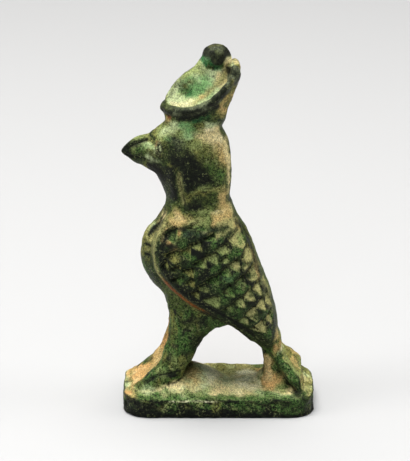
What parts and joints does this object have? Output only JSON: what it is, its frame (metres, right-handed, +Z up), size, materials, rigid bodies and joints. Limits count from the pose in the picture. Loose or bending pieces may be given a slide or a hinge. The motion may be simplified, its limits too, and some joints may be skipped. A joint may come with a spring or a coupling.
{
  "type": "bronze falcon figure",
  "caption": "Small cast falcon wearing a double crown, standing with folded scaled wings on a low rounded plinth.",
  "frame": {"origin": "middle of the plinth's flat underside", "axes": "+Z up, beak towards -Y, +X towards the bird's left side"},
  "size_m": [0.0154, 0.031, 0.0599],
  "materials": {
    "bronze": "old cast bronze with dark green and olive patina, worn dark on the high edges, with tan earth in the hollows"
  },
  "bodies": {
    "root": {"bronze_falcon": "bronze"}
  },
  "joints": []
}
